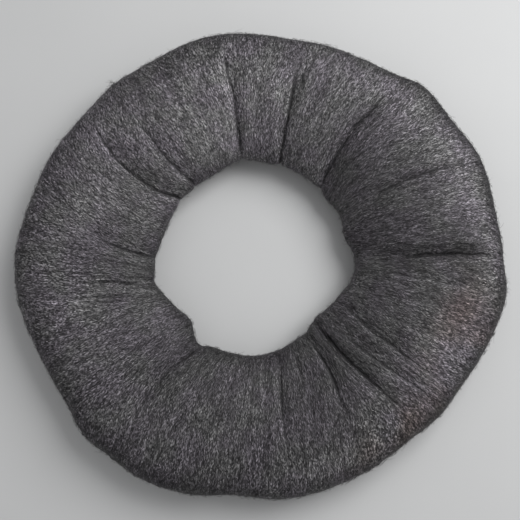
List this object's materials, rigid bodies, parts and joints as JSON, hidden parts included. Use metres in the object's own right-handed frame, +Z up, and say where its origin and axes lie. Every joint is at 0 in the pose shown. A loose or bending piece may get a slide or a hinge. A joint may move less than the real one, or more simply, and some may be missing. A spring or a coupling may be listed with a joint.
{
  "type": "steel wool ring",
  "caption": "Soft round pad of steel wool strands gathered into a ring with an open centre, for scrubbing and buffing a floor.",
  "frame": {"origin": "middle of the footprint, on the surface that the ring lies on", "axes": "+Z up out of the hole, through the ring's thinnest way; +X and +Y lie in the ring's plane, with +X to the right in the picture"},
  "size_m": [0.4362, 0.4212, 0.0488],
  "materials": {
    "steel_wool": "dull mat of fine dark steel strands with small bright glints"
  },
  "bodies": {
    "root": {"wool_ring": "steel_wool"}
  },
  "joints": []
}
